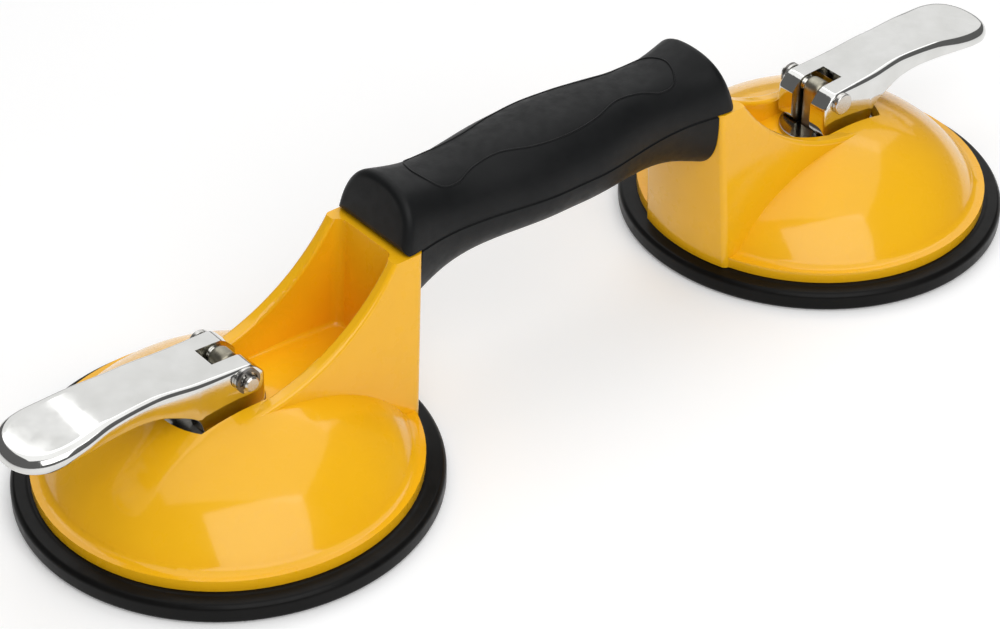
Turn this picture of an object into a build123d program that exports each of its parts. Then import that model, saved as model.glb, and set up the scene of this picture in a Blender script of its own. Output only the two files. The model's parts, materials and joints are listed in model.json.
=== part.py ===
from build123d import *
from math import asin, cos, degrees, pi, radians, sin
import os

# Twin-cup vacuum lifter, millimetres. +X runs along the tool, +Z is up. The origin is
# midway between the cups, on the plane that the rubber pads rest on.
# Both cups are alike: the left one is the right one turned half a turn about Z.
# Each is drawn in its own terms: outward distance from the cup axis, and height.

# ---- driving dimensions ------------------------------------------------------------
CUP_X = 108.7           # cup axis from the middle of the tool
PAD_R, PAD_H = 58.7, 5.8
RIM_R, RIM_Z = 53.2, 6.3          # rim of the cast dome, which presses on the pad
LEDGE_Z, DOME_FOOT_ROUND = 9.6, 3.0               # step round the foot of the dome
DOME_R, DOME_H, DOME_BASE = 54.0, 38.2, -5.0      # half ellipse of the dome's outside
HOLLOW_R, HOLLOW_H = 50.0, 34.2                   # the same for its inside
CEILING_Z = 22.0                  # flat roof of the hollow under the dome

RISER_TOP = 59.3                  # also the seam between the two grip shells
RISER_FOOT_R, RISER_TOP_R = 54.4, 56.9            # inner face, about the cup axis
RISER_HALF_W, RISER_DRAFT = 17.6, 2.1             # at the foot, and degrees
TROUGH_HALF_W, TROUGH_R = 12.0, 19.8              # lever trough and its rounded outer end
TROUGH_END, TROUGH_TOP_END = -46.2, -48.0         # its end wall, at the floor and at the top
TROUGH_FALL = 2.1                 # how far the floor sinks towards that wall
SEAT_Z, PLATE_T, PLATE_HALF_W = 26.8, 1.4, 10.8   # wear plate on the trough's floor
BAR_HALF_W, BAR_BOTTOM = 6.5, 50.0                # bar of the casting inside the grip

PIN_Z, PIN_R = 40.1, 2.2          # pivot pin, with the lever locked
PIN_HEAD_R, PIN_HEAD_T = 3.35, 1.5
PIN_END = 13.6                    # its far end, from the middle of the lever
WASHER_R, WASHER_T = 3.6, 0.8
CLIP_R, CLIP_T, GROOVE_DEPTH = 3.6, 0.7, 0.6
LEVER_END = 6.4                   # pin axis to the lever's inner end face
LEVER_TOP, LEVER_HALF_W = 43.5, 10.0
LEVER_TIP = 66.8
CHEEK_END = 13.4                  # outer end of the flat cheeks
SLOT_HALF_W, SLOT_END = 3.9, 6.1  # slot that the draw link shows through
SKIN = 2.4                        # wall of the hollow lever arm
LINK_HALF_W, LINK_R = 3.15, 3.4   # draw link: half its width, and its eye
LINK_CROWN = 1.6                  # rounding across the eye's top
LINK_PLAY = 0.4                   # all round the link in its guide holes
HUB_R, HUB_Z, HUB_H = 6.0, 17.2, 4.4
STUD_R, STUD_TOP, THREAD_PLAY = 3.0, 21.2, 0.03
CORE_PLATE_R, CORE_PLATE_Z, CORE_PLATE_T = 22.0, 11.0, 1.8
NUT_FLAT_R, NUT_H = 5.0, 3.2

GRIP_WALL = 3.0
GRIP_END, GRIP_LEAN = 60.2, 15.0  # foot of the upper shell's end faces, and degrees
INLAY_T, END_ROUND = 0.8, 2.5
SCREW_X, SCREW_R, SCREW_HEAD_R, SCREW_HEAD_H, SCREW_SEAT = 31.5, 1.5, 3.5, 2.4, 47.8
BOSS_R = 4.4

GAP = 0.1                         # between faces of different bodies that meet flat
RUNNING = 0.07                    # radial clearance of the lever on its pin

PLATE_TOP = SEAT_Z + PLATE_T
CAM_REACH = PIN_Z - PLATE_TOP - GAP               # pin axis to the lever's flat bottom
CAM_FALL = (CAM_REACH - LEVER_END) / (pi / 2)     # pin travel per radian of lever turn

# Grip sections: x, half width at the seam, height above it, depth below it.
GRIP_STATIONS = [
    (0, 17.1, 16.0, 13.8),
    (12, 16.8, 15.5, 13.6),
    (24, 14.9, 14.9, 13.5),
    (35.5, 13.5, 13.8, 14.4),
    (47, 13.8, 14.7, 17.6),
    (54, 15.0, 16.2, 20.2),
    (62.5, 14.3, 17.4, 21.5),
]
UPPER, LOWER = 2, 3               # columns of the height and the depth

DOME_START = degrees(asin((LEDGE_Z - DOME_BASE) / DOME_H))
HOLLOW_START = degrees(asin((RIM_Z - DOME_BASE) / HOLLOW_H))
HOLLOW_STOP = degrees(asin((CEILING_Z - DOME_BASE) / HOLLOW_H))

cup_axis = Axis((CUP_X, 0, 0), (0, 0, 1))
side = Plane(origin=(CUP_X, 0, 0), x_dir=(1, 0, 0), z_dir=(0, -1, 0))   # x outward, y up
screws = [(SCREW_X, 0), (-SCREW_X, 0)]


def level(z):
    """Horizontal plane at height z, centred on the right cup."""
    return Plane(origin=(CUP_X, 0, z))


def write(solid, name):
    solid.label = name
    export_step(solid, f"parts/{name}.step")


def write_pair(solid, name):
    """The right cup's piece, and the same turned half a turn for the left cup."""
    write(solid, f"right_{name}")
    write(solid.rotate(Axis.Z, 180), f"left_{name}")


os.makedirs("parts", exist_ok=True)

# ---- body casting ------------------------------------------------------------------
# Shape of the lever trough: a straight channel from the riser to a rounded outer end.
with BuildPart() as trough:
    with BuildSketch(side):
        with BuildLine():
            Polyline(
                (TROUGH_END, SEAT_Z - TROUGH_FALL), (-12, SEAT_Z), (-12, 64), (TROUGH_TOP_END, 64),
                close=True,
            )
        make_face()
    extrude(amount=TROUGH_HALF_W, both=True)
    end_wall = trough.faces().sort_by(Axis.X)[0]
    fillet(end_wall.edges().filter_by(Axis.Y, reverse=True), 3)
    fillet(trough.faces().sort_by(Axis.Z)[0].edges().group_by(Axis.X)[:-1], 1.5)
    with BuildSketch(level(SEAT_Z)):
        Circle(TROUGH_R)
        with Locations((-TROUGH_R, 0)):
            Rectangle(2 * TROUGH_R - 8, 2 * TROUGH_HALF_W)
        Rectangle(3 * TROUGH_R, 2 * TROUGH_HALF_W, mode=Mode.INTERSECT)
    extrude(amount=64 - SEAT_Z)

with BuildPart() as body_casting:
    # riser, and the two fins that the trough leaves of its outer side
    with BuildSketch(side):
        with BuildLine():
            ThreePointArc((-45.4, RISER_TOP), (-23.9, 39.4), (6, 31.4))
            Polyline(
                (6, 31.4), (6, 20), (-30, RIM_Z), (-60, RIM_Z), (-60, RISER_TOP),
                (-45.4, RISER_TOP),
            )
        make_face()
    extrude(amount=RISER_HALF_W, both=True)
    with BuildSketch(level(RIM_Z)):
        Rectangle(160, 2 * RISER_HALF_W)
    extrude(amount=RISER_TOP - RIM_Z, taper=RISER_DRAFT, mode=Mode.INTERSECT)
    with BuildSketch(side):
        with BuildLine():
            Polyline(
                (0, RIM_Z), (RISER_FOOT_R, RIM_Z), (RISER_TOP_R, RISER_TOP), (0, RISER_TOP),
                close=True,
            )
        make_face()
    revolve(axis=cup_axis, mode=Mode.INTERSECT)
    fillet(body_casting.edges().filter_by(GeomType.HYPERBOLA), 1.8)
    add(trough.part, mode=Mode.SUBTRACT)
    fin_crests = body_casting.faces().filter_by(GeomType.CYLINDER).sort_by(SortBy.AREA)[-2:]
    fillet(fin_crests.edges().filter_by(lambda edge: edge.length > 40), 1.2)
    # dome
    with BuildSketch(side) as dome_section:
        with BuildLine():
            arch = EllipticalCenterArc(
                (0, DOME_BASE), DOME_R, DOME_H,
                start_angle=DOME_START, arc_size=90 - DOME_START,
            )
            Polyline(arch @ 0, (RIM_R, LEDGE_Z), (RIM_R, RIM_Z), (0, RIM_Z), arch @ 1)
        make_face()
        foot, lip = dome_section.vertices().group_by(Axis.Y)[-2].sort_by(Axis.X)
        fillet(foot, DOME_FOOT_ROUND)
        fillet(lip, 1)
    revolve(axis=cup_axis)
    # lever trough and the hole that guides the draw link
    add(trough.part, mode=Mode.SUBTRACT)
    with BuildSketch(level(0)):
        Rectangle(2 * (LINK_R + LINK_PLAY), 2 * (LINK_HALF_W + LINK_PLAY))
    extrude(amount=SEAT_Z, mode=Mode.SUBTRACT)
    # hollow under the dome
    with BuildSketch(side):
        with BuildLine():
            vault = EllipticalCenterArc(
                (0, DOME_BASE), HOLLOW_R, HOLLOW_H,
                start_angle=HOLLOW_START, arc_size=HOLLOW_STOP - HOLLOW_START,
            )
            Polyline(vault @ 1, (0, (vault @ 1).Y), (0, 0), ((vault @ 0).X, 0), vault @ 0)
        make_face()
    revolve(axis=cup_axis, mode=Mode.SUBTRACT)
    # half of the bar inside the grip, then the other cup
    with BuildSketch(Plane.YZ):
        with Locations((0, (BAR_BOTTOM + RISER_TOP) / 2)):
            Rectangle(2 * BAR_HALF_W, RISER_TOP - BAR_BOTTOM)
    extrude(amount=CUP_X - RISER_TOP_R + 4)
    with BuildSketch(Plane.XY.offset(BAR_BOTTOM)):
        with Locations((SCREW_X, 0)):
            Circle(SCREW_R + 0.8)
    extrude(amount=RISER_TOP - BAR_BOTTOM, mode=Mode.SUBTRACT)
    mirror(about=Plane.YZ)
write(body_casting.part, "body_casting")

# ---- grip --------------------------------------------------------------------------


def grip_half(column, inset=0.0, length=62.5):
    """Upper or lower half of the grip, lofted through its sections."""
    sign = 1 if column == UPPER else -1
    stations = [station for station in GRIP_STATIONS if station[0] <= length]
    places = [-station[0] for station in reversed(stations[1:])] + [s[0] for s in stations]
    sections = list(reversed(stations[1:])) + stations
    with BuildPart() as half:
        for x, section in zip(places, sections):
            w = section[1] - inset
            h = sign * (section[column] - inset)
            full = 0.62 + (0.08 if column == UPPER else 0.2) * (x / 62.5) ** 2   # 0.55: an ellipse
            with BuildSketch(Plane((x, 0, RISER_TOP), x_dir=(0, 1, 0), z_dir=(1, 0, 0))):
                with BuildLine():
                    Bezier((w, 0), (w, full * h), (full * w, h), (0, h))
                    Bezier((0, h), (-full * w, h), (-w, full * h), (-w, 0))
                    Line((-w, 0), (w, 0))
                make_face()
        loft()
    return half.part


def end_plane(way):
    """End face of the upper shell, leaning in towards its top."""
    lean = radians(GRIP_LEAN)
    return Plane((way * GRIP_END, 0, RISER_TOP), z_dir=(way * cos(lean), 0, sin(lean)))


upper_outside = grip_half(UPPER)

# Soft inlay let into the top of the upper shell, with a waisted outline.
with BuildPart() as grip_inlay:
    with BuildSketch(Plane.XY.offset(RISER_TOP + 4)):
        with BuildLine():
            Spline(
                (0, -10.7), (11, -9.6), (21.7, -6.8), (30, -6.9), (37, -8.6), (42.2, -7.6), (45.5, 0),
                tangents=[(1, 0), (0, 1)],
            )
            mirror(about=Plane.XZ)
            mirror(about=Plane.YZ)
        make_face()
    extrude(amount=20)
    add(upper_outside, mode=Mode.INTERSECT)
    add(grip_half(UPPER, inset=INLAY_T), mode=Mode.SUBTRACT)
write(grip_inlay.part, "grip_inlay")

with BuildPart() as grip_upper_shell:
    add(upper_outside)
    for way in (1, -1):
        split(bisect_by=end_plane(way), keep=Keep.BOTTOM)
    ends = grip_upper_shell.faces().filter_by(lambda face: abs(face.normal_at().X) > 0.9)
    fillet(ends.edges().filter_by(GeomType.LINE, reverse=True), END_ROUND)
    add(grip_half(UPPER, inset=GRIP_WALL, length=54), mode=Mode.SUBTRACT)
    with BuildSketch(Plane.XY.offset(RISER_TOP)):
        with Locations(*screws):
            Circle(BOSS_R)
    extrude(until=Until.NEXT)
    with BuildSketch(Plane.XY.offset(RISER_TOP)):
        with Locations(*screws):
            Circle(SCREW_R)
    extrude(amount=8, mode=Mode.SUBTRACT)
    add(grip_inlay.part, mode=Mode.SUBTRACT)
write(grip_upper_shell.part, "grip_upper_shell")

# What the lower shell stops short of: the risers' rounded inner faces.
with BuildPart() as riser_faces:
    with BuildSketch(side):
        with BuildLine():
            Polyline(
                (0, 20), (RISER_FOOT_R + 1.1, 20), (RISER_TOP_R + 0.2, RISER_TOP), (0, RISER_TOP),
                close=True,
            )
        make_face()
    revolve(axis=cup_axis)
    mirror(about=Plane.YZ)

with BuildPart() as grip_lower_shell:
    add(grip_half(LOWER))
    add(grip_half(LOWER, inset=GRIP_WALL, length=47), mode=Mode.SUBTRACT)
    with BuildSketch(Plane.XY.offset(BAR_BOTTOM - GAP)):
        with Locations(*screws):
            Circle(BOSS_R)
    extrude(amount=-4.5)
    with BuildSketch(Plane.XY.offset(BAR_BOTTOM - GAP)):
        Rectangle(130, 2 * (BAR_HALF_W + 0.2))
    extrude(amount=20, mode=Mode.SUBTRACT)
    add(riser_faces.part, mode=Mode.SUBTRACT)
    with BuildSketch(Plane.XY.offset(30)):
        with Locations(*screws):
            Circle(SCREW_R + 0.4)
    extrude(amount=20, mode=Mode.SUBTRACT)
    with BuildSketch(Plane.XY.offset(30)):
        with Locations(*screws):
            Circle(SCREW_HEAD_R + 0.4)
    extrude(amount=SCREW_SEAT - 30, mode=Mode.SUBTRACT)
write(grip_lower_shell.part, "grip_lower_shell")

with BuildPart() as grip_screws:
    with BuildSketch(Plane.XY.offset(SCREW_SEAT)):
        with Locations(*screws):
            Circle(SCREW_HEAD_R)
    extrude(amount=-SCREW_HEAD_H)
    fillet(grip_screws.edges().filter_by(GeomType.CIRCLE).group_by(Axis.Z)[0], 0.8)
    with BuildSketch(Plane.XY.offset(SCREW_SEAT - SCREW_HEAD_H)):
        with Locations(*screws):
            for turn in (0, 90):
                Rectangle(3.8, 0.8, rotation=turn)
    extrude(amount=1.4, mode=Mode.SUBTRACT)
    with BuildSketch(Plane.XY.offset(SCREW_SEAT)):
        with Locations(*screws):
            Circle(SCREW_R)
    extrude(amount=RISER_TOP + 7 - SCREW_SEAT)
write(grip_screws.part, "grip_screws")

# ---- one suction cup ---------------------------------------------------------------
# Rubber pad, drawn up in the middle as it is when locked.
with BuildPart() as suction_pad:
    with BuildSketch(side):
        with BuildLine():
            Polyline(
                (0, 6.9), (26, 6.9), (44, 0.5), (46, 0), (PAD_R - 0.8, 0), (PAD_R, 0.8),
                (PAD_R, PAD_H - 1), (PAD_R - 1, PAD_H), (RIM_R + 0.6, RIM_Z), (46.0, RIM_Z),
                (45.0, 8.2), (43.8, 8.2), (43.2, 6.3), (25, 10.8), (0, 10.8), close=True,
            )
        make_face()
    revolve(axis=cup_axis)
write_pair(suction_pad.part, "suction_pad")

with BuildPart() as core_plate:
    with BuildSketch(level(CORE_PLATE_Z)):
        Circle(CORE_PLATE_R)
    extrude(amount=CORE_PLATE_T)
    fillet(core_plate.edges().filter_by(GeomType.CIRCLE), 0.5)
write_pair(core_plate.part, "core_plate")

with BuildPart() as core_stud:
    with BuildSketch(level(CORE_PLATE_Z + CORE_PLATE_T)):
        Circle(STUD_R)
    extrude(amount=STUD_TOP - CORE_PLATE_Z - CORE_PLATE_T)
    chamfer(core_stud.edges().sort_by(Axis.Z)[-1], 0.6)
write_pair(core_stud.part, "core_stud")

with BuildPart() as lock_nut:
    with BuildSketch(level(CORE_PLATE_Z + CORE_PLATE_T + GAP)):
        RegularPolygon(NUT_FLAT_R, 6, major_radius=False)
        Circle(STUD_R + THREAD_PLAY, mode=Mode.SUBTRACT)
    extrude(amount=NUT_H)
write_pair(lock_nut.part, "lock_nut")

# Flat bar with an eye for the pin and a tapped hub that screws onto the stud.
with BuildPart() as draw_link:
    with BuildSketch(side):
        with Locations((0, PIN_Z)):
            Circle(LINK_R)
        with Locations((0, (PIN_Z + HUB_Z + 2) / 2)):
            Rectangle(2 * LINK_R, PIN_Z - HUB_Z - 2)
    extrude(amount=LINK_HALF_W, both=True)
    flanks = draw_link.faces().sort_by(Axis.Y)
    eye_edges = flanks[0].edges() + flanks[-1].edges()
    fillet(eye_edges.filter_by(GeomType.CIRCLE), LINK_CROWN)
    with BuildSketch(level(HUB_Z)):
        Circle(HUB_R)
    extrude(amount=HUB_H)
    with BuildSketch(side):
        with Locations((0, PIN_Z)):
            Circle(PIN_R + 0.01)
    extrude(amount=10, both=True, mode=Mode.SUBTRACT)
    with BuildSketch(level(HUB_Z)):
        Circle(STUD_R + THREAD_PLAY)
    extrude(amount=STUD_TOP - HUB_Z + 0.3, mode=Mode.SUBTRACT)
write_pair(draw_link.part, "draw_link")

with BuildPart() as wear_plate:
    with BuildSketch(level(SEAT_Z)):
        Circle(TROUGH_R - 0.6)
        Rectangle(3 * TROUGH_R, 2 * PLATE_HALF_W, mode=Mode.INTERSECT)
        with Locations((-TROUGH_R, 0)):
            Rectangle(2 * TROUGH_R, 2 * TROUGH_R, mode=Mode.SUBTRACT)
        Circle(PLATE_HALF_W)
        Rectangle(2 * (LINK_R + LINK_PLAY), 2 * (LINK_HALF_W + LINK_PLAY), mode=Mode.SUBTRACT)
    extrude(amount=PLATE_T)
    fillet(wear_plate.faces().sort_by(Axis.Z)[-1].outer_wire().edges(), 0.35)
write_pair(wear_plate.part, "wear_plate")


# The lever's cheeks are a cam: the distance from the pin to the face that bears on the
# plate shrinks evenly as the lever stands up, from CAM_REACH to LEVER_END.
def cam_point(turn):
    reach = CAM_REACH - CAM_FALL * turn
    return (
        CAM_FALL * cos(turn) - reach * sin(turn),
        PIN_Z - CAM_FALL * sin(turn) - reach * cos(turn),
    )


def lever_outline(inset, start):
    """Solid with the lever's outline from above, its edge moved in by inset."""
    with BuildPart() as outline:
        with BuildSketch(level(PLATE_TOP - 5)):
            with BuildLine():
                near = Polyline(
                    (start, 0), (start, inset - LEVER_HALF_W), (max(14, start + 1), inset - 10)
                )
                Spline(
                    near @ 1, (30, inset - 9.9), (40, inset - 10.8), (49, inset - 12.8),
                    (57, inset - 13.3), (63.4, inset - 9.6), (LEVER_TIP - inset, 0),
                    tangents=[(1, 0), (0, 1)],
                )
                mirror(about=Plane.XZ)
            make_face()
        extrude(amount=30)
    return outline.part


# Hollow of the lever: narrow between the cheeks, then as wide as the arm allows.
with BuildPart() as arm_hollow:
    with BuildSketch(level(PLATE_TOP)):
        with Locations((10, 0)):
            Rectangle(20, 2 * SLOT_HALF_W)
    extrude(amount=LEVER_TOP - SKIN - PLATE_TOP)
    add(lever_outline(SKIN, CHEEK_END + 3))
    with BuildSketch(side):
        with BuildLine():
            roof = Spline(
                (0, LEVER_TOP - SKIN), (14, 42.0), (27, 43.3), (40, 43.1), (50, 41.9), (58, 41.3),
                (66, 40.2), tangents=[(1, 0), (1, -0.2)],
            )
            Polyline(roof @ 1, (66, PLATE_TOP - 6), (0, PLATE_TOP - 6), roof @ 0)
        make_face()
    extrude(amount=20, both=True, mode=Mode.INTERSECT)

with BuildPart() as cam_lever:
    with BuildSketch(side):
        with BuildLine():
            cam = Spline(
                *[cam_point(i * pi / 12) for i in range(7)], tangents=[(-1, 0), (0, 1)]
            )
            Polyline(cam @ 1, (-LEVER_END, LEVER_TOP - 3), (3 - LEVER_END, LEVER_TOP))
            back = Spline(
                (3 - LEVER_END, LEVER_TOP), (14, 44.4), (27, 45.7), (40, 45.5), (50, 44.3),
                (58, 43.7), (69, 42.2), tangents=[(1, 0), (1, -0.2)],
            )
            rim = Spline(
                (69, 38.8), (60, 40.1), (52, 40.8), (44, 40.2), (35, 40.2), (27, 39), (20.7, 36.6),
                (15.2, 33.2), (CHEEK_END + 0.3, 29),
            )
            Line(back @ 1, rim @ 0)
            Polyline(rim @ 1, (CHEEK_END, PLATE_TOP + GAP), cam @ 0)
        make_face()
    extrude(amount=16, both=True)
    add(lever_outline(0, -9), mode=Mode.INTERSECT)
    fillet(cam_lever.faces().sort_by(Axis.Z)[-1].edges(), 1.5)
    # slot for the draw link, open at the inner end
    with BuildSketch(level(PLATE_TOP)):
        with Locations((SLOT_END / 2 - 5, 0)):
            Rectangle(SLOT_END + 10, 2 * SLOT_HALF_W)
    extrude(amount=20, mode=Mode.SUBTRACT)
    # hollow under the arm
    add(arm_hollow.part, mode=Mode.SUBTRACT)
    with BuildSketch(side):
        with Locations((0, PIN_Z)):
            Circle(PIN_R + RUNNING)
    extrude(amount=20, both=True, mode=Mode.SUBTRACT)
write_pair(cam_lever.part, "cam_lever")

with BuildPart() as pivot_pin:
    with BuildSketch(side.offset(LEVER_HALF_W + GAP)):
        with Locations((0, PIN_Z)):
            Circle(PIN_HEAD_R)
    extrude(amount=PIN_HEAD_T)
    fillet(pivot_pin.edges().filter_by(GeomType.CIRCLE).sort_by(Axis.Y)[0], 0.4)
    with BuildSketch(side.offset(LEVER_HALF_W + GAP)):
        with Locations((0, PIN_Z)):
            Circle(PIN_R)
    extrude(amount=-(LEVER_HALF_W + GAP + PIN_END))
    chamfer(pivot_pin.edges().filter_by(GeomType.CIRCLE).sort_by(Axis.Y)[-1], 0.4)
    with BuildSketch(side.offset(-(LEVER_HALF_W + WASHER_T + 2 * GAP))):
        with Locations((0, PIN_Z)):
            Circle(PIN_R + 1)
            Circle(PIN_R - GROOVE_DEPTH, mode=Mode.SUBTRACT)
    extrude(amount=-(CLIP_T + GAP), mode=Mode.SUBTRACT)
write_pair(pivot_pin.part, "pivot_pin")

with BuildPart() as pin_washer:
    with BuildSketch(side.offset(-(LEVER_HALF_W + GAP))):
        with Locations((0, PIN_Z)):
            Circle(WASHER_R)
            Circle(PIN_R + 0.05, mode=Mode.SUBTRACT)
    extrude(amount=-WASHER_T)
write_pair(pin_washer.part, "pin_washer")

# E-shaped clip: an open ring with three prongs that reach into the pin's groove.
with BuildPart() as retaining_clip:
    with BuildSketch(side.offset(-(LEVER_HALF_W + WASHER_T + 2.5 * GAP))):
        with Locations((0, PIN_Z)):
            Circle(CLIP_R)
            Circle(PIN_R + GROOVE_DEPTH, mode=Mode.SUBTRACT)
            with PolarLocations((CLIP_R + PIN_R - GROOVE_DEPTH) / 2 - 0.3, 3, start_angle=90):
                Rectangle(CLIP_R - PIN_R, 1.5)
            Circle(PIN_R - GROOVE_DEPTH + 0.02, mode=Mode.SUBTRACT)
        with Locations((0, PIN_Z - CLIP_R)):
            Rectangle(3.4, 2 * CLIP_R - 4, mode=Mode.SUBTRACT)
    extrude(amount=-CLIP_T)
write_pair(retaining_clip.part, "retaining_clip")
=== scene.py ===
import json
from math import cos, pi, radians, sin

import bmesh
import bpy
from mathutils import Matrix, Vector
from mathutils.bvhtree import BVHTree


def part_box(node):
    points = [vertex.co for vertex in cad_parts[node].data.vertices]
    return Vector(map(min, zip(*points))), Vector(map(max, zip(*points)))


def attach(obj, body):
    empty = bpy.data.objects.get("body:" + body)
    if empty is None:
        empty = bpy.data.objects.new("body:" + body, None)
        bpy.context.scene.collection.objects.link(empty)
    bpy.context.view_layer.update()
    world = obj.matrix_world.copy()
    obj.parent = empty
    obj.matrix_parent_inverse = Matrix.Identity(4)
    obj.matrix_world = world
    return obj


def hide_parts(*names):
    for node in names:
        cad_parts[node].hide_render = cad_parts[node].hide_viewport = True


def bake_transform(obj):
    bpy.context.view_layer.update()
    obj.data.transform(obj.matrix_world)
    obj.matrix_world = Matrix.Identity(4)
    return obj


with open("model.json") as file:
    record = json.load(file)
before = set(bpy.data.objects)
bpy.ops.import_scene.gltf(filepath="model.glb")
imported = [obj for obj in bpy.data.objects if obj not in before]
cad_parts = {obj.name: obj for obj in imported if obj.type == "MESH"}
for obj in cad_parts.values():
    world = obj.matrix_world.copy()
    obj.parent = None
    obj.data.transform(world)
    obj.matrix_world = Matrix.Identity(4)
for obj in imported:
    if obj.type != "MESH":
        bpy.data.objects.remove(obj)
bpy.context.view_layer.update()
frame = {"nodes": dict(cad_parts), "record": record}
NODES = frame["nodes"]
scene = bpy.context.scene
MM = 0.001
SIDES = ("left", "right")

# ---- camera ------------------------------------------------------------------------
CAMERA_AZIMUTH, CAMERA_ELEVATION, CAMERA_ROLL = -39.65, 36.05, 0.57     # degrees
CAMERA_DISTANCE = 0.8397
CAMERA_TARGET = Vector((-0.0143, 0.0, 0.0121))
CAMERA_LENS = 106.06


def camera_matrix():
    az, el, roll = (radians(a) for a in (CAMERA_AZIMUTH, CAMERA_ELEVATION, CAMERA_ROLL))
    back = Vector((sin(az) * cos(el), -cos(az) * cos(el), sin(el)))
    right = Vector((cos(az), sin(az), 0))
    up = back.cross(right)
    tilted_right = cos(roll) * right + sin(roll) * up
    tilted_up = cos(roll) * up - sin(roll) * right
    turn = Matrix((tilted_right, tilted_up, back)).transposed()
    return Matrix.Translation(CAMERA_TARGET + back * CAMERA_DISTANCE) @ turn.to_4x4()


camera = bpy.data.objects.new("camera", bpy.data.cameras.new("camera"))
scene.collection.objects.link(camera)
camera.data.sensor_width = 36
camera.data.lens = CAMERA_LENS
camera.data.clip_start, camera.data.clip_end = 0.01, 20
camera.matrix_world = camera_matrix()
scene.camera = camera
scene.view_settings.view_transform = "Standard"

# ---- studio ------------------------------------------------------------------------
world = bpy.data.worlds.new("studio")
world.use_nodes = True
world.node_tree.nodes["Background"].inputs["Color"].default_value = (1.0, 1.0, 1.0, 1)
world.node_tree.nodes["Background"].inputs["Strength"].default_value = 0.14
scene.world = world


def softbox(name, place, aim, width, height, power):
    light = bpy.data.lights.new(name, "AREA")
    light.shape = "RECTANGLE"
    light.size, light.size_y = width, height
    light.energy = power
    holder = bpy.data.objects.new(name, light)
    scene.collection.objects.link(holder)
    holder.location = place
    holder.rotation_euler = (Vector(aim) - Vector(place)).to_track_quat("-Z", "Y").to_euler()


softbox("front_light", (-0.25, -0.72, 0.78), (0, 0, 0.02), 1.0, 0.85, 6.8)
softbox("top_light", (0.15, 0.2, 1.3), (0, 0, 0.02), 1.8, 1.6, 10.0)
softbox("backdrop_light", (0.95, 1.15, 0.95), (0, 0, 0.03), 2.2, 1.5, 9.0)


# ---- materials ---------------------------------------------------------------------
def new_material(name, **settings):
    """A Principled material with its constants set on the shader's own sockets."""
    material = bpy.data.materials.new(name)
    material.use_nodes = True
    shader = material.node_tree.nodes["Principled BSDF"]
    for socket, value in settings.items():
        shader.inputs[socket.replace("_", " ")].default_value = value
    return material, material.node_tree, shader


def add_node(tree, kind, **settings):
    node = tree.nodes.new(kind)
    for key, value in settings.items():
        if key in node.inputs:
            node.inputs[key].default_value = value
        else:
            setattr(node, key, value)
    return node


def noise(tree, scale, detail=3.0, stretch=None):
    """Noise in object space; scale is features per metre."""
    coords = add_node(tree, "ShaderNodeTexCoord")
    texture = add_node(tree, "ShaderNodeTexNoise", Scale=scale, Detail=detail)
    if stretch:
        mapping = add_node(tree, "ShaderNodeMapping", Scale=stretch)
        tree.links.new(coords.outputs["Object"], mapping.inputs["Vector"])
        tree.links.new(mapping.outputs["Vector"], texture.inputs["Vector"])
    else:
        tree.links.new(coords.outputs["Object"], texture.inputs["Vector"])
    return texture.outputs["Fac"]


def spread(tree, value, low, high):
    """The texture's middle range mapped to low..high."""
    ranger = add_node(tree, "ShaderNodeMapRange")
    for socket, number in zip(("From Min", "From Max", "To Min", "To Max"), (0.3, 0.7, low, high)):
        ranger.inputs[socket].default_value = number
    tree.links.new(value, ranger.inputs["Value"])
    return ranger.outputs["Result"]


def tint(tree, shader, factor, dark, light):
    mix = add_node(tree, "ShaderNodeMix", data_type="RGBA")
    mix.inputs["A"].default_value = (*dark, 1)
    mix.inputs["B"].default_value = (*light, 1)
    tree.links.new(factor, mix.inputs["Factor"])
    tree.links.new(mix.outputs["Result"], shader.inputs["Base Color"])


def add_bump(tree, shader, heights):
    """Bumps from (value, depth in metres) pairs, one on top of the other."""
    normal = None
    for value, depth in heights:
        bump = add_node(tree, "ShaderNodeBump", Distance=depth, Strength=1.0)
        tree.links.new(value, bump.inputs["Height"])
        if normal:
            tree.links.new(normal, bump.inputs["Normal"])
        normal = bump.outputs["Normal"]
    tree.links.new(normal, shader.inputs["Normal"])


def paint():
    """Glossy enamel on a die casting: slight orange peel, slow colour drift."""
    material, tree, shader = new_material(
        "yellow_enamel", Specular_IOR_Level=0.12, Coat_Weight=0.7, Coat_Roughness=0.09, Coat_IOR=1.5
    )
    drift = spread(tree, noise(tree, 28), 0, 1)
    tint(tree, shader, drift, (0.93, 0.475, 0.006), (0.98, 0.515, 0.009))
    tree.links.new(spread(tree, noise(tree, 160), 0.24, 0.34), shader.inputs["Roughness"])
    add_bump(tree, shader, [(noise(tree, 90, 2), 0.00006), (noise(tree, 700, 2), 0.000006)])
    return material


def moulded(name, dark, light, rough_low, rough_high, grain, depth, shine):
    """Moulded black plastic or rubber with a fine spark-eroded grain."""
    material, tree, shader = new_material(name, Specular_IOR_Level=shine)
    tint(tree, shader, spread(tree, noise(tree, 60), 0, 1), dark, light)
    roughness = spread(tree, noise(tree, 350), rough_low, rough_high)
    tree.links.new(roughness, shader.inputs["Roughness"])
    add_bump(tree, shader, [(noise(tree, 45, 2), 0.00008), (noise(tree, grain, 2), depth)])
    return material


def metal(name, dark, light, rough_low, rough_high, stretch=(1, 1, 1), scale=300, depth=0.000002):
    """Bare or plated metal; stretch draws the marks out along one axis."""
    material, tree, shader = new_material(name, Metallic=1.0)
    marks = noise(tree, scale, 4, stretch)
    tint(tree, shader, spread(tree, noise(tree, 120), 0, 1), dark, light)
    tree.links.new(spread(tree, marks, rough_low, rough_high), shader.inputs["Roughness"])
    add_bump(tree, shader, [(marks, depth)])
    return material


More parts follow.
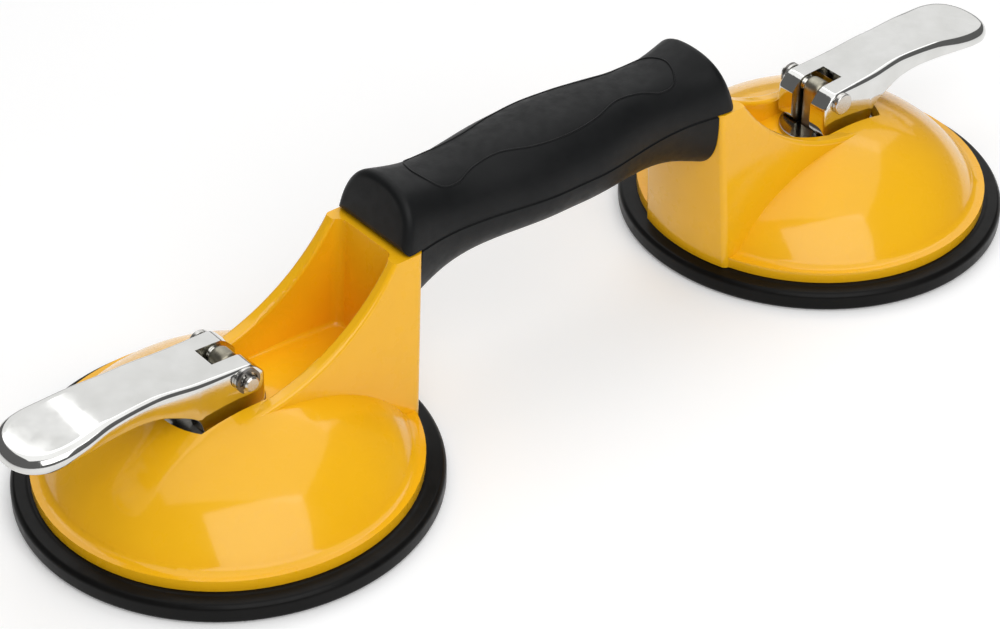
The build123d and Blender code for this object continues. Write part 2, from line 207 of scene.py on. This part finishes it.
MATERIALS = {
    "yellow_paint": paint(),
    "grip_black": moulded(
        "grip_plastic", (0.006, 0.0065, 0.007), (0.009, 0.0095, 0.01),
        0.38, 0.5, 2600, 0.000018, 0.17
    ),
    "grip_soft": moulded(
        "grip_rubber", (0.005, 0.0055, 0.006), (0.008, 0.0085, 0.009),
        0.42, 0.56, 2200, 0.000022, 0.2
    ),
    "pad_rubber": moulded(
        "pad_rubber", (0.003, 0.003, 0.0028), (0.0055, 0.0052, 0.005),
        0.3, 0.42, 1500, 0.000006, 0.13
    ),
    "chrome": metal("chrome_plate", (0.66, 0.66, 0.64), (0.73, 0.73, 0.715), 0.05, 0.12),
    "plate_steel": metal(
        "polished_steel", (0.30, 0.29, 0.28), (0.42, 0.41, 0.40), 0.10, 0.2, (1, 14, 1), 400
    ),
    "link_steel": metal(
        "link_steel", (0.24, 0.22, 0.17), (0.46, 0.44, 0.36), 0.26, 0.42, (8, 8, 1), 500, 0.000006
    ),
    "pin_steel": metal(
        "pin_steel", (0.55, 0.54, 0.52), (0.70, 0.69, 0.66), 0.18, 0.32, (10, 1, 10), 500, 0.000004
    ),
    "clip_steel": metal(
        "clip_steel", (0.12, 0.115, 0.11), (0.22, 0.21, 0.20), 0.25, 0.4, (6, 1, 6), 600, 0.000004
    ),
    "zinc_steel": metal(
        "zinc_steel", (0.52, 0.53, 0.54), (0.66, 0.66, 0.65), 0.3, 0.48, (1, 1, 1), 900, 0.000006
    ),
}

for part in frame["record"]["subparts"]:
    mesh = NODES[part["node"]].data
    mesh.materials.clear()
    mesh.materials.append(MATERIALS[part["material_slot"]])


# ---- new pieces --------------------------------------------------------------------
def new_piece(name, verts, faces, slot, smooth=True):
    mesh = bpy.data.meshes.new(name)
    mesh.from_pydata(verts, [], faces)
    mesh.update()
    shape = bmesh.new()
    shape.from_mesh(mesh)
    bmesh.ops.recalc_face_normals(shape, faces=shape.faces)
    shape.to_mesh(mesh)
    shape.free()
    for polygon in mesh.polygons:
        polygon.use_smooth = smooth
    piece = bpy.data.objects.new(name, mesh)
    scene.collection.objects.link(piece)
    mesh.materials.append(MATERIALS[slot])
    return piece


def kept(shape, name):
    """The bmesh as a new mesh."""
    mesh = bpy.data.meshes.new(name)
    shape.to_mesh(mesh)
    shape.free()
    return mesh


def turned(name, profile, centre, slot, steps=192):
    """A closed profile of (radius, z) points in millimetres, turned round a vertical axis."""
    verts, faces = [], []
    count = len(profile)
    for step in range(steps):
        angle = 2 * pi * step / steps
        for radius, z in profile:
            verts.append(
                (centre.x + radius * MM * cos(angle), centre.y + radius * MM * sin(angle), z * MM)
            )
    for step in range(steps):
        here, there = step * count, (step + 1) % steps * count
        for i in range(count):
            j = (i + 1) % count
            faces.append((here + i, there + i, there + j, here + j))
    return new_piece(name, verts, faces, slot)


def rounded(corners, radius, steps=5):
    """Corners of a closed profile, each rounded off by short chords."""
    out = []
    for i, corner in enumerate(corners):
        here = Vector(corner)
        before = Vector(corners[i - 1]) - here
        after = Vector(corners[(i + 1) % len(corners)]) - here
        cut = min(radius, before.length * 0.45, after.length * 0.45)
        start, end = here + before.normalized() * cut, here + after.normalized() * cut
        for step in range(steps + 1):
            t = step / steps
            out.append(tuple((1 - t) ** 2 * start + 2 * t * (1 - t) * here + t * t * end))
    return out


# Rubber pad: a thick outer ring that stays with the casting, and a thin middle, which the
# core plate draws up on the real pad; here the middle is not attached to any body.
RING = [
    (45.0, 2.2), (46.2, 0.0), (48.6, 0.0), (48.9, 0.5), (49.7, 0.5), (50.0, 0.0), (52.6, 0.0),
    (52.9, 0.5), (53.7, 0.5), (54.0, 0.0), (57.9, 0.0), (58.7, 0.9), (58.7, 4.7), (57.7, 5.8),
    (54.6, 6.0), (53.9, 6.25), (46.0, 6.25), (45.0, 5.6),
]
MIDDLE = [
    (0.001, 6.9), (26, 6.9), (40, 2.2), (44.9, 2.0), (44.9, 3.4), (40, 4.6), (25, 10.8),
    (0.001, 10.8),
]
RING_ROUND, MIDDLE_ROUND = 0.55, 2.0

for side in SIDES:
    low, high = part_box(f"{side}_suction_pad")
    centre = (low + high) / 2
    ring = turned(f"{side}_pad_ring", rounded(RING, RING_ROUND), centre, "pad_rubber", 256)
    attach(ring, "frame")
    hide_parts(f"{side}_suction_pad")
    middle = turned(f"{side}_pad_middle", rounded(MIDDLE, MIDDLE_ROUND), centre, "pad_rubber", 96)
    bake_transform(middle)


# ---- levers ------------------------------------------------------------------------
# Millimetres: out is the distance outward from the pin, and across is the distance from
# the middle of the lever.
LEVER_END = 6.4
LEVER_HALF_WIDTH = 10.0
LEVER_TIP = 67.6
LEVER_SIDE = [
    (-5.4, 10.0), (4, 10.0), (14, 9.95), (28, 9.5), (40, 10.4), (50, 11.9), (56, 12.2),
    (61, 11.1), (65, 8.1), (67.0, 4.3), (LEVER_TIP, 0.0),
]
LEVER_BACK = [
    (-6.4, 39.3), (-3.0, 42.9), (-1.6, 43.5), (6, 43.9), (14, 44.4), (27, 45.7), (40, 45.6),
    (50, 44.6), (58, 44.0), (64, 43.4), (68, 42.8),
]
LEVER_BOTTOM = [
    (-6.4, 33.0), (-6.15, 31.3), (-5.3, 29.8), (-4.0, 28.7), (-2.4, 28.3), (6, 28.3), (13.3, 28.3),
    (13.7, 30.4), (15.2, 33.2), (20.7, 36.6), (27, 39.0), (35, 40.1), (44, 40.2), (52, 40.0),
    (60, 39.2), (68, 38.6),
]
HOLLOW_ROOF = [(0, 41.1), (14, 42.0), (27, 43.2), (40, 43.1), (50, 42.0), (58, 41.4), (66, 40.8)]
LEVER_WALL = 2.4
LEVER_STEP, LEVER_CORNER, LEVER_SHARP = 0.6, 1.0, 38
SLOT_HALF_WIDTH, SLOT_END = 3.9, 6.1
PIN_HEIGHT, PIN_HOLE = 40.1, 2.27


def smooth_value(table, place):
    """Smooth curve through (place, value) points, without overshoot."""
    place = min(max(place, table[0][0]), table[-1][0])
    slopes = [(b[1] - a[1]) / (b[0] - a[0]) for a, b in zip(table, table[1:])]
    k = next(i for i, point in enumerate(table[1:]) if place <= point[0])

    def slope_at(i):
        if i == 0 or i == len(table) - 1:
            return slopes[min(i, len(slopes) - 1)]
        before, after = slopes[i - 1], slopes[i]
        return 0.0 if before * after <= 0 else 2 * before * after / (before + after)

    (x0, y0), (x1, y1) = table[k], table[k + 1]
    span = x1 - x0
    t = (place - x0) / span
    return (
        y0 * (1 + 2 * t) * (1 - t) ** 2 + slope_at(k) * span * t * (1 - t) ** 2
        + y1 * t * t * (3 - 2 * t) + slope_at(k + 1) * span * t * t * (t - 1)
    )


def through(points, gap):
    """Points about every gap along a Catmull-Rom curve through the given points."""
    knots = [2 * Vector(points[0]) - Vector(points[1])] + [Vector(p) for p in points]
    knots.append(Vector((points[-2][0], -points[-2][1])))
    out = []
    for i in range(1, len(knots) - 2):
        p0, p1, p2, p3 = knots[i - 1:i + 3]
        steps = max(2, round((p2 - p1).length / gap))
        t0 = 0.0
        t1 = t0 + (p1 - p0).length ** 0.5
        t2 = t1 + (p2 - p1).length ** 0.5
        t3 = t2 + (p3 - p2).length ** 0.5
        for step in range(steps):
            t = t1 + (t2 - t1) * step / steps
            a1 = p0 * ((t1 - t) / (t1 - t0)) + p1 * ((t - t0) / (t1 - t0))
            a2 = p1 * ((t2 - t) / (t2 - t1)) + p2 * ((t - t1) / (t2 - t1))
            a3 = p2 * ((t3 - t) / (t3 - t2)) + p3 * ((t - t2) / (t3 - t2))
            b1 = a1 * ((t2 - t) / (t2 - t0)) + a2 * ((t - t0) / (t2 - t0))
            b2 = a2 * ((t3 - t) / (t3 - t1)) + a3 * ((t - t1) / (t3 - t1))
            out.append(b1 * ((t2 - t) / (t2 - t1)) + b2 * ((t - t1) / (t2 - t1)))
    out.append(knots[-2])
    return out


def lever_outline(start, inset):
    """Closed outline seen from above, from the middle of the inner end all the way round."""
    corner = LEVER_CORNER + inset
    half = [Vector((start, (LEVER_HALF_WIDTH - corner) * i / 7)) for i in range(8)]
    for step in range(1, 5):
        angle = pi / 2 * step / 5
        half.append(Vector((
            start + corner * (1 - cos(angle)), LEVER_HALF_WIDTH - corner * (1 - sin(angle))
        )))
    half += [p for p in through(LEVER_SIDE, LEVER_STEP) if p.x > start + corner - 0.01]
    loop = half + [Vector((p.x, -p.y)) for p in reversed(half[1:-1])]
    if not inset:
        return loop
    return [p - outward(loop, i) * inset for i, p in enumerate(loop)]


def outward(loop, i):
    """Unit vector out of a closed outline at one of its points."""
    along = loop[(i + 1) % len(loop)] - loop[i - 1]
    return Vector((-along.y, along.x)).normalized()


def slab(name, loop, bottom, top, top_round, bottom_round, spine):
    """Solid between two height curves, with rounded rims and caps that close on a spine."""
    normals = [outward(loop, i) for i in range(len(loop))]

    def ring_at(depth, height_of):
        ring = []
        for p, n in zip(loop, normals):
            q = p - n * depth(p)
            ring.append((q.x, q.y, height_of(p, q)))
        return ring

    def cap(ring, curve, count):
        """Rings from the given one in to the spine."""
        out = []
        for k in range(1, count + 1):
            f = k / count
            row = []
            for x, y, z in ring:
                sx = min(max(x, spine[0]), spine[1])
                qx, qy = x + (sx - x) * f, y * (1 - f)
                base = z - smooth_value(curve, x)
                row.append((qx, qy, smooth_value(curve, qx) + base * max(0.0, 1 - 3 * f)))
            out.append(row)
        return out

    low = [
        ring_at(
            lambda p, a=a: bottom_round(p.x) * (1 - cos(a)),
            lambda p, q, a=a: smooth_value(bottom, q.x) + bottom_round(p.x) * (1 - sin(a)),
        )
        for a in (pi / 2, pi / 3, pi / 6, 0.0)
    ]
    high = [
        ring_at(
            lambda p, a=a: top_round(p.x) * (1 - cos(a)),
            lambda p, q, a=a: smooth_value(top, q.x) - top_round(p.x) * (1 - sin(a)),
        )
        for a in [pi / 2 * k / 7 for k in range(8)]
    ]
    rings = list(reversed(cap(low[0], bottom, 8))) + low + high + cap(high[-1], top, 12)
    verts = [(x * MM, y * MM, z * MM) for ring in rings for x, y, z in ring]
    count = len(loop)
    faces = []
    for r in range(len(rings) - 1):
        for i in range(count):
            j = (i + 1) % count
            here, there = r * count, (r + 1) * count
            faces.append((here + i, here + j, there + j, there + i))
    shape = bmesh.new()
    made = [shape.verts.new(v) for v in verts]
    for face in faces:
        shape.faces.new([made[i] for i in face])
    bmesh.ops.remove_doubles(shape, verts=shape.verts, dist=1e-6)
    bmesh.ops.dissolve_degenerate(shape, edges=shape.edges, dist=1e-6)
    bmesh.ops.recalc_face_normals(shape, faces=shape.faces)
    return bpy.data.objects.new(name, kept(shape, name))


def block(name, low, high):
    """Box between two corners, used as a cutter."""
    shape = bmesh.new()
    bmesh.ops.create_cube(shape, size=1)
    for vert in shape.verts:
        for axis in range(3):
            vert.co[axis] = (low[axis] if vert.co[axis] < 0 else high[axis]) * MM
    return bpy.data.objects.new(name, kept(shape, name))


def cross_rod(name, radius, height):
    """Round bar along Y, used as a cutter."""
    shape = bmesh.new()
    bmesh.ops.create_cone(
        shape, cap_ends=True, segments=64, radius1=radius * MM, radius2=radius * MM, depth=40 * MM,
        matrix=Matrix.Translation((0, 0, height * MM)) @ Matrix.Rotation(pi / 2, 4, "X"),
    )
    return bpy.data.objects.new(name, kept(shape, name))


def carved(piece, cutters):
    """Mesh of the piece with the cutters taken out of it."""
    scene.collection.objects.link(piece)
    for cutter in cutters:
        scene.collection.objects.link(cutter)
        cut = piece.modifiers.new(cutter.name, "BOOLEAN")
        cut.operation, cut.solver, cut.object = "DIFFERENCE", "MANIFOLD", cutter
    bpy.context.view_layer.update()
    mesh = bpy.data.meshes.new_from_object(
        piece.evaluated_get(bpy.context.evaluated_depsgraph_get())
    )
    for done in [piece, *cutters]:
        bpy.data.objects.remove(done)
    return mesh


def rim_round(place):
    """Radius of the lever's upper edge: small on the arm, larger round the paddle."""
    return smooth_value([(-6.4, 0.5), (0, 0.9), (12, 1.5), (35, 1.7), (52, 2.5), (68, 2.9)], place)


body = slab(
    "lever_body", lever_outline(-LEVER_END, 0), LEVER_BOTTOM, LEVER_BACK, rim_round,
    lambda place: smooth_value([(-6.4, 0.3), (30, 0.5), (50, 1.1), (68, 1.5)], place), (4, 56),
)
hollow = slab(
    "lever_hollow", lever_outline(14.0, LEVER_WALL), [(0, 20.0), (30, 20.0), (70, 20.0)],
    HOLLOW_ROOF, lambda place: 0.8, lambda place: 0.1, (24, 56),
)
between_cheeks = block("lever_gap", (-20, -SLOT_HALF_WIDTH, 20), (20, SLOT_HALF_WIDTH, 41.1))
slot = block("lever_slot", (-20, -SLOT_HALF_WIDTH, 20), (SLOT_END, SLOT_HALF_WIDTH, 60))
bore = cross_rod("lever_bore", PIN_HOLE, PIN_HEIGHT)
lever_mesh = carved(body, [hollow, between_cheeks, slot, bore])

for side in SIDES:
    low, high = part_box(f"{side}_pivot_pin")
    mesh = lever_mesh.copy()
    lever = bpy.data.objects.new(f"{side}_lever", mesh)
    scene.collection.objects.link(lever)
    turn = Matrix.Rotation(0 if side == "right" else pi, 4, "Z")
    mesh.transform(Matrix.Translation(((low.x + high.x) / 2, 0, 0)) @ turn)
    for polygon in mesh.polygons:
        polygon.use_smooth = True
    mesh.set_sharp_from_angle(angle=radians(LEVER_SHARP))
    mesh.materials.clear()
    mesh.materials.append(MATERIALS["chrome"])
    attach(lever, f"{side}_lever")
    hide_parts(f"{side}_cam_lever")


# ---- grip --------------------------------------------------------------------------
def ring_tube(line, radius, around=8):
    """Vertices and faces of a closed tube along (place, normal) pairs; radius in millimetres."""
    verts, faces = [], []
    for i, (place, normal) in enumerate(line):
        along = (line[(i + 1) % len(line)][0] - line[i - 1][0]).normalized()
        side = along.cross(normal).normalized()
        up = side.cross(along)
        for k in range(around):
            angle = 2 * pi * k / around
            verts.append(place + (side * cos(angle) + up * sin(angle)) * radius * MM)
            faces.append(tuple(
                (i + di) % len(line) * around + (k + dk) % around
                for di, dk in ((0, 0), (1, 0), (1, 1), (0, 1))
            ))
    return verts, faces


def surface_of(node):
    """The CAD part's surface, to cast rays on."""
    shape = bmesh.new()
    shape.from_mesh(NODES[node].data)
    surface = BVHTree.FromBMesh(shape)
    shape.free()
    return surface


# Groove between the two shells: a closed tube that follows their seam on both sides and
# passes clear of the ends is cut out of each. Millimetres.
SEAM_HEIGHT, SEAM_RADIUS = 59.3, 0.45
SEAM_REACH, SEAM_CLEAR = 60, 67
SEAM_SIDES = 10                # with eight, the cut left one bad edge in the upper shell
SHELL_SHARP = 32
shell = surface_of("grip_upper_shell")
near = []
for x in range(-SEAM_REACH, SEAM_REACH + 1):
    start = Vector((x * MM, -0.05, (SEAM_HEIGHT + 0.15) * MM))
    hit = shell.ray_cast(start, Vector((0, 1, 0)))[0]
    if hit:
        near.append(Vector((x, hit.y / MM)))
near = [Vector((-SEAM_CLEAR, near[0].y))] + near + [Vector((SEAM_CLEAR, near[-1].y))]
seam = [
    (Vector((p.x * MM, p.y * MM, SEAM_HEIGHT * MM)), Vector((0, 0, 1)))
    for p in near + [Vector((p.x, -p.y)) for p in reversed(near)]
]
for half_name in ("upper", "lower"):
    node = f"grip_{half_name}_shell"
    shape = bmesh.new()
    shape.from_mesh(NODES[node].data)
    bmesh.ops.remove_doubles(shape, verts=shape.verts, dist=1e-6)
    shape.verts.index_update()
    skin = bpy.data.meshes.new(f"grip_{half_name}_skin")
    skin.from_pydata(
        [v.co.copy() for v in shape.verts], [], [[v.index for v in f.verts] for f in shape.faces]
    )
    shape.free()
    groove_mesh = bpy.data.meshes.new("groove")
    verts, faces = ring_tube(seam, SEAM_RADIUS, SEAM_SIDES)
    groove_mesh.from_pydata(verts, [], faces)
    shape = bmesh.new()
    shape.from_mesh(groove_mesh)
    bmesh.ops.recalc_face_normals(shape, faces=shape.faces)
    shape.to_mesh(groove_mesh)
    shape.free()
    groove = bpy.data.objects.new("groove", groove_mesh)
    mesh = carved(bpy.data.objects.new("skin", skin), [groove])
    for polygon in mesh.polygons:
        polygon.use_smooth = True
    mesh.set_sharp_from_angle(angle=radians(SHELL_SHARP))
    mesh.materials.clear()
    mesh.materials.append(MATERIALS["grip_black"])
    piece = bpy.data.objects.new(f"grip_{half_name}_skin", mesh)
    scene.collection.objects.link(piece)
    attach(piece, "frame")
    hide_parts(node)

# Raised edge round the soft inlay, laid on the surface from above. Millimetres.
INLAY_OUTLINE = [
    (-11, -9.6), (0, -10.7), (11, -9.6), (21.7, -6.8), (30, -6.9), (37, -8.6), (42.2, -7.6),
    (45.5, 0),
]
EDGE_RADIUS, EDGE_STEP = 0.3, 0.8
ABOVE_ALL = 0.2                # metres
quarter = [p for p in through(INLAY_OUTLINE, EDGE_STEP) if p.x > -0.01]
half = quarter + [Vector((p.x, -p.y)) for p in reversed(quarter[:-1])]
outline = half + [-p for p in half[1:-1]]
tops = [surface_of(node) for node in ("grip_upper_shell", "grip_inlay")]
line = []
for p in outline:
    start = Vector((p.x * MM, p.y * MM, ABOVE_ALL))
    hits = [top.ray_cast(start, Vector((0, 0, -1))) for top in tops]
    place, normal = max(((hit[0], hit[1]) for hit in hits if hit[0]), key=lambda hit: hit[0].z)
    line.append((place, normal))
inlay_edge = new_piece("grip_inlay_edge", *ring_tube(line, EDGE_RADIUS), "grip_soft")
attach(inlay_edge, "frame")

# ---- floor -------------------------------------------------------------------------
floor = bpy.data.objects.new("floor", bpy.data.meshes.new("floor"))
scene.collection.objects.link(floor)
REACH, FLOOR_GAP = 6.0, 0.0002
floor.data.from_pydata(
    [(-REACH, -REACH, 0), (REACH, -REACH, 0), (REACH, REACH, 0), (-REACH, REACH, 0)],
    [], [(0, 1, 2, 3)],
)
floor_material, floor_tree, floor_shader = new_material(
    "floor_paper", Specular_IOR_Level=0.2, Emission_Color=(1, 1, 1, 1), Emission_Strength=0.16
)
tint(
    floor_tree, floor_shader, spread(floor_tree, noise(floor_tree, 3), 0, 1),
    (0.93, 0.93, 0.93), (0.95, 0.95, 0.95),
)
floor_shader.inputs["Roughness"].default_value = 0.6
floor.data.materials.append(floor_material)
floor.location.z = -FLOOR_GAP
